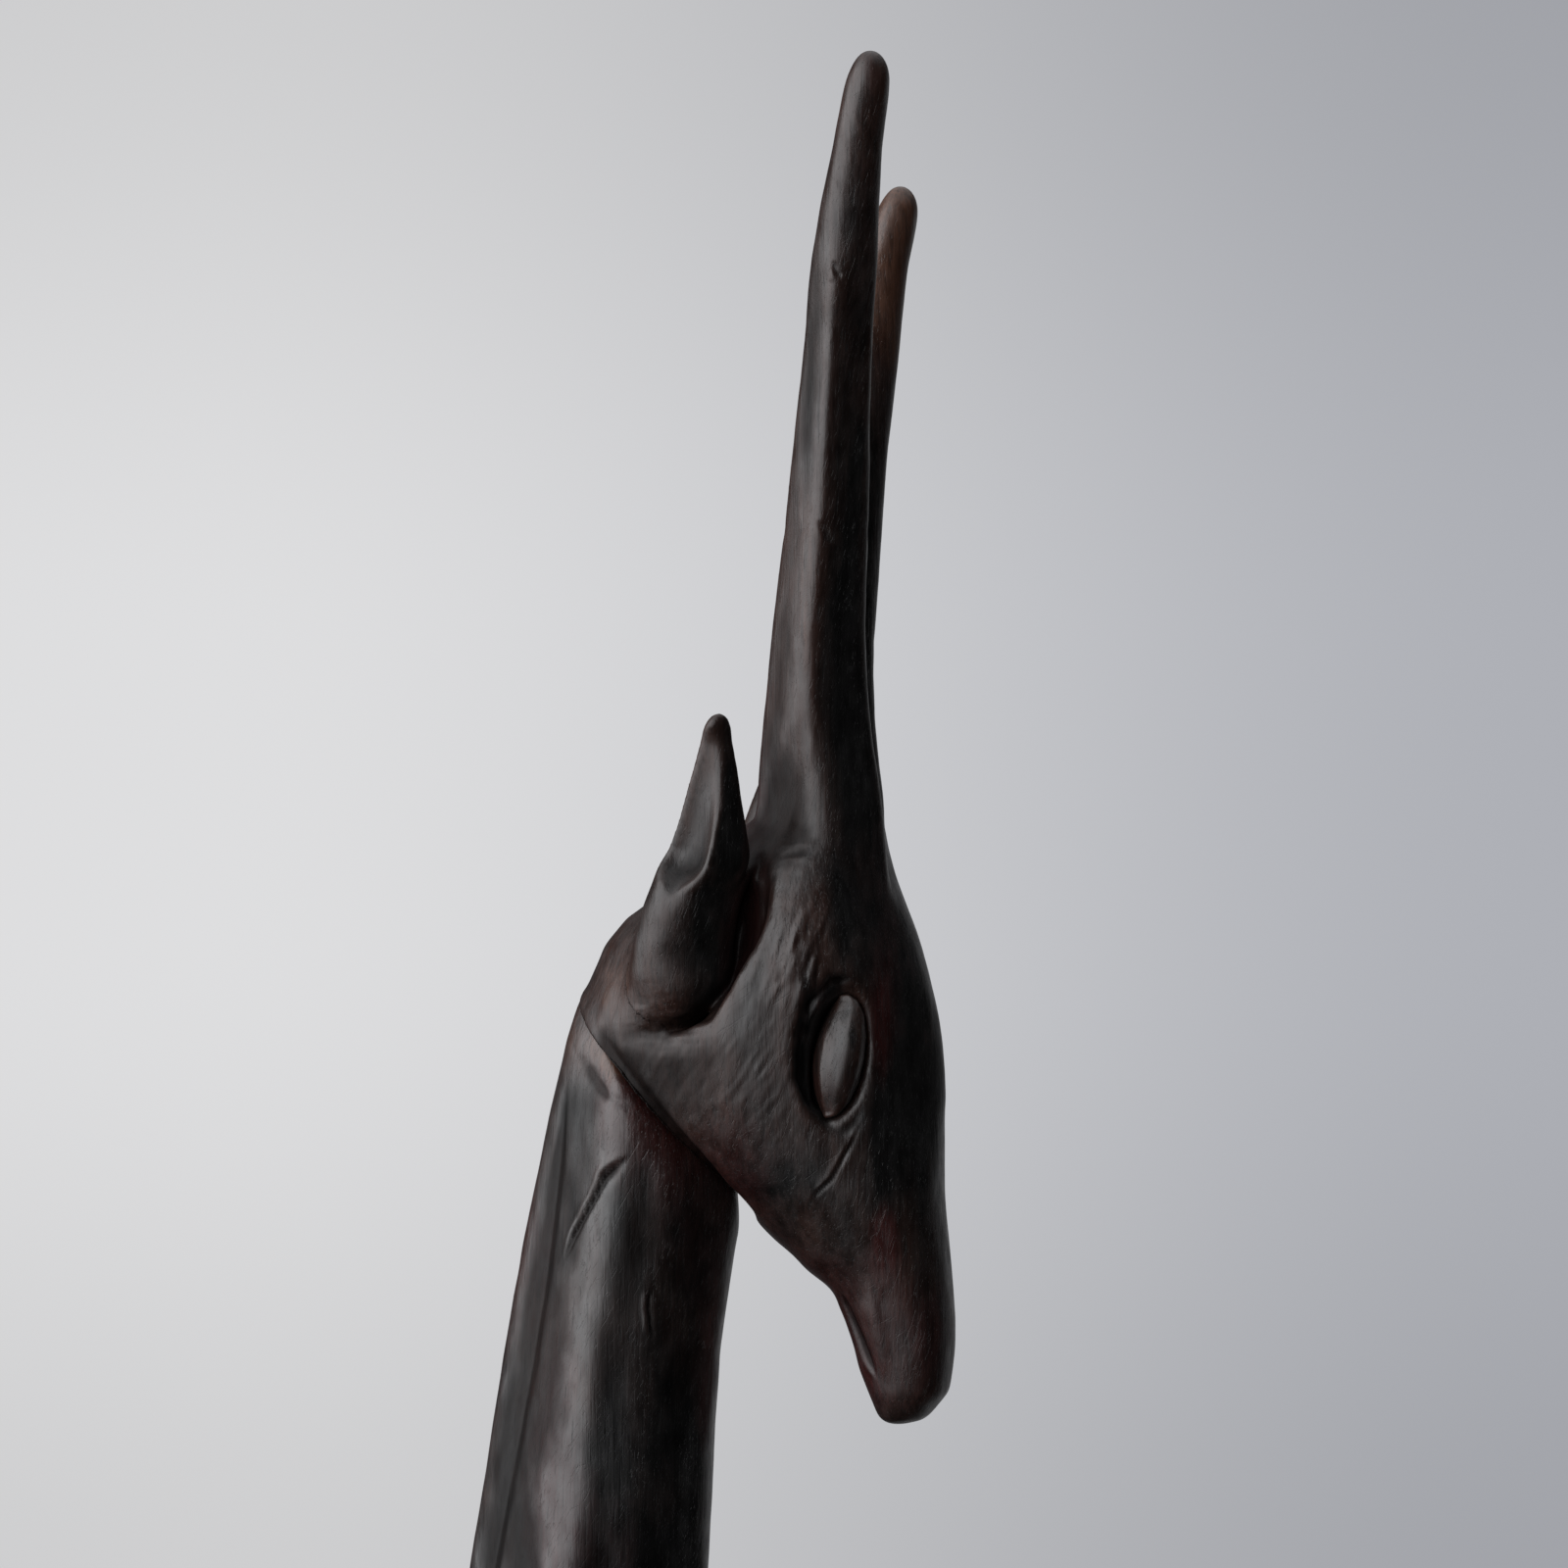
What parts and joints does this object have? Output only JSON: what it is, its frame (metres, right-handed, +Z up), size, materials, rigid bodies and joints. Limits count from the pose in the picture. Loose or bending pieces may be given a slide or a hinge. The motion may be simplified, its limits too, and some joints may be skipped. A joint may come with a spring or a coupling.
{
  "type": "carved giraffe statue",
  "caption": "Slender dark-stained carved wooden giraffe standing on a plinth, with a long leaning neck, drooping muzzle, leaf-shaped ears and tall straight horns.",
  "frame": {"origin": "centre of the plinth's flat underside", "axes": "+Z up, +X the way the animal faces, +Y its left side"},
  "size_m": [0.1518, 0.074, 0.6],
  "materials": {
    "horn_wood": "black-brown stained hardwood, waxed satin, rubbed brown towards the tips",
    "head_wood": "black-brown stained hardwood with reddish patches, knife marks and open pores, waxed satin",
    "neck_wood": "black-brown stained hardwood, long shallow facets, waxed satin",
    "body_wood": "black-brown stained hardwood with gouge marks, waxed satin",
    "plinth_wood": "dark stained hardwood, rubbed edges, dull satin",
    "dowel_wood": "bare light hardwood"
  },
  "bodies": {
    "root": {"plinth": "plinth_wood", "foreleg_left": "body_wood", "foreleg_right": "body_wood", "hindleg_left": "body_wood", "hindleg_right": "body_wood", "body": "body_wood", "tail": "body_wood", "neck": "neck_wood", "head": "head_wood", "ear_left": "head_wood", "ear_right": "head_wood", "eye_left": "head_wood", "eye_right": "head_wood", "horn_left": "horn_wood", "horn_right": "horn_wood", "neck_dowel": "dowel_wood", "head_dowel": "dowel_wood", "horn_dowel_left": "dowel_wood", "horn_dowel_right": "dowel_wood"}
  },
  "joints": []
}
